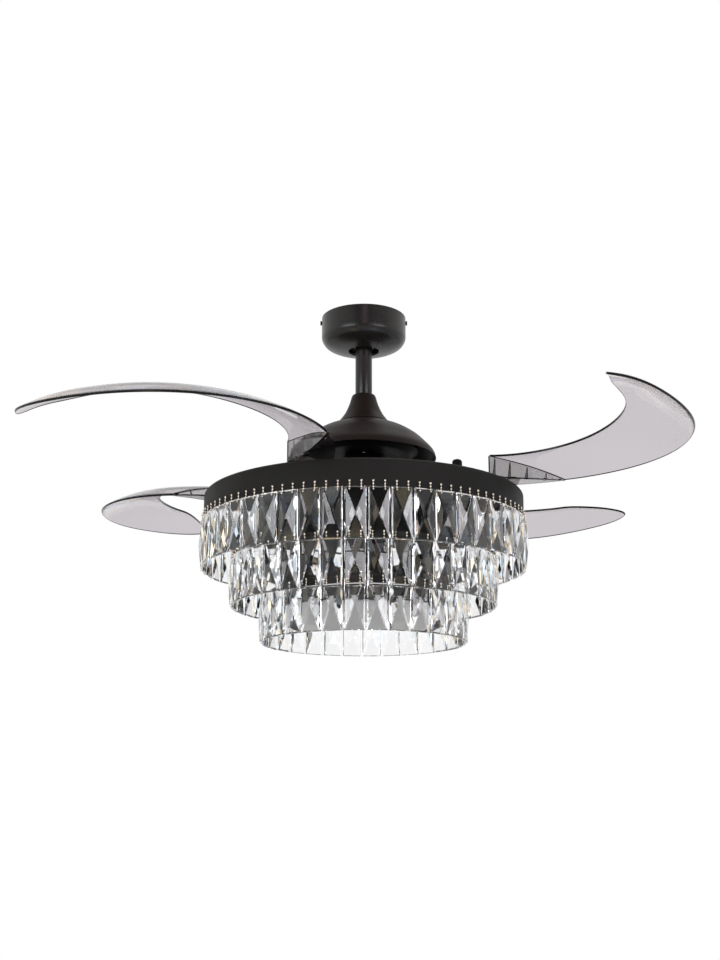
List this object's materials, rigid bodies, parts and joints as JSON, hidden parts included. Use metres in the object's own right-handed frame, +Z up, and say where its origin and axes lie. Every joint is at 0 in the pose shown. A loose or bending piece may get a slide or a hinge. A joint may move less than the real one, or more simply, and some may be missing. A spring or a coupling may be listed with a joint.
{
  "type": "retractable blade ceiling fan",
  "caption": "Ceiling fan whose curved smoke-clear blades fold in over a round tiered crystal light, hung on a short downrod from a domed canopy, all metal in dark bronze.",
  "frame": {"origin": "on the ceiling, at the centre of the bracket's top face, on the fan's axis", "axes": "+Z up into the ceiling; -Y towards the picture's camera; +X to its right"},
  "size_m": [1.0084, 1.0084, 0.5645],
  "materials": {
    "bronze_paint": "satin bronze black",
    "charcoal_paint": "fine textured matt charcoal",
    "zinc_steel": "zinc plated",
    "bright_steel": "ground steel",
    "black_paint": "satin black",
    "black_plastic": "moulded",
    "nylon": "moulded nylon",
    "copper": "enamelled wire",
    "iron": "laminated",
    "smoke_plastic": "polished clear smoke acrylic",
    "crystal": "cut and polished",
    "aluminium": "plain",
    "opal": "opal"
  },
  "bodies": {
    "mount_body": {"ceiling_bracket": "zinc_steel", "canopy": "bronze_paint", "canopy_screw_right": "black_paint", "canopy_screw_left": "black_paint", "receiver_box": "black_plastic"},
    "hanging_body": {"hanger_ball": "black_plastic", "downrod": "bronze_paint", "hanger_pin": "bright_steel", "coupling": "zinc_steel", "coupling_pin": "bright_steel", "yoke_cover": "bronze_paint", "motor_cover": "bronze_paint", "motor_shaft": "bright_steel", "stator_core": "iron", "winding_top": "copper", "winding_bottom": "copper", "ring_band": "charcoal_paint", "light_pan": "charcoal_paint", "crystal_tier_1": "crystal", "crystal_tier_2": "crystal", "crystal_tier_3": "crystal", "lamp_housing": "charcoal_paint", "shaft_nut": "bright_steel", "led_driver": "black_plastic", "led_board": "aluminium", "led_diffuser": "opal"},
    "rotor": {"motor_shell_top": "black_paint", "motor_shell_bottom": "black_paint", "magnet_ring": "iron", "bearing_top": "bright_steel", "bearing_bottom": "bright_steel", "rotor_hub": "black_paint", "blade_carrier": "zinc_steel", "pivot_post_1": "black_paint", "pivot_post_2": "black_paint", "pivot_post_3": "black_paint", "pivot_post_4": "black_paint", "return_spring_1": "bright_steel", "return_spring_2": "bright_steel", "return_spring_3": "bright_steel", "return_spring_4": "bright_steel"},
    "sync_ring": {"sync_gear": "nylon"},
    "blade_set_1": {"blade_1": "smoke_plastic", "blade_gear_1": "nylon"},
    "blade_set_2": {"blade_2": "smoke_plastic", "blade_gear_2": "nylon"},
    "blade_set_3": {"blade_3": "smoke_plastic", "blade_gear_3": "nylon"},
    "blade_set_4": {"blade_4": "smoke_plastic", "blade_gear_4": "nylon"}
  },
  "joints": [
    {"name": "hang_tilt", "type": "hinge", "parent": "mount_body", "child": "hanging_body", "pos_m": [0, 0, -0.03], "axis": [1, 0, 0], "range_deg": [-8, 8]},
    {"name": "fan_spin", "type": "hinge", "parent": "hanging_body", "child": "rotor", "pos_m": [0, 0, -0.319], "axis": [0, 0, 1], "continuous": true},
    {"name": "blade_fold_1", "type": "hinge", "parent": "rotor", "child": "blade_set_1", "pos_m": [0.15, -0.105, -0.311], "axis": [0, 0, -1], "range_deg": [0, 152]},
    {"name": "blade_fold_2", "type": "hinge", "parent": "rotor", "child": "blade_set_2", "pos_m": [0.105, 0.15, -0.311], "axis": [0, 0, -1], "range_deg": [0, 152]},
    {"name": "blade_fold_3", "type": "hinge", "parent": "rotor", "child": "blade_set_3", "pos_m": [-0.15, 0.105, -0.311], "axis": [0, 0, -1], "range_deg": [0, 152]},
    {"name": "blade_fold_4", "type": "hinge", "parent": "rotor", "child": "blade_set_4", "pos_m": [-0.105, -0.15, -0.311], "axis": [0, 0, -1], "range_deg": [0, 152]},
    {"name": "sync_turn", "type": "hinge", "parent": "rotor", "child": "sync_ring", "pos_m": [0, 0, -0.319], "axis": [0, 0, 1], "range_deg": [0, 50.7]}
  ],
  "couplings": [
    {"joint": "blade_fold_2", "follows": "blade_fold_1", "ratio": 1},
    {"joint": "blade_fold_3", "follows": "blade_fold_1", "ratio": 1},
    {"joint": "blade_fold_4", "follows": "blade_fold_1", "ratio": 1},
    {"joint": "sync_turn", "follows": "blade_fold_1", "ratio": 0.33333}
  ]
}
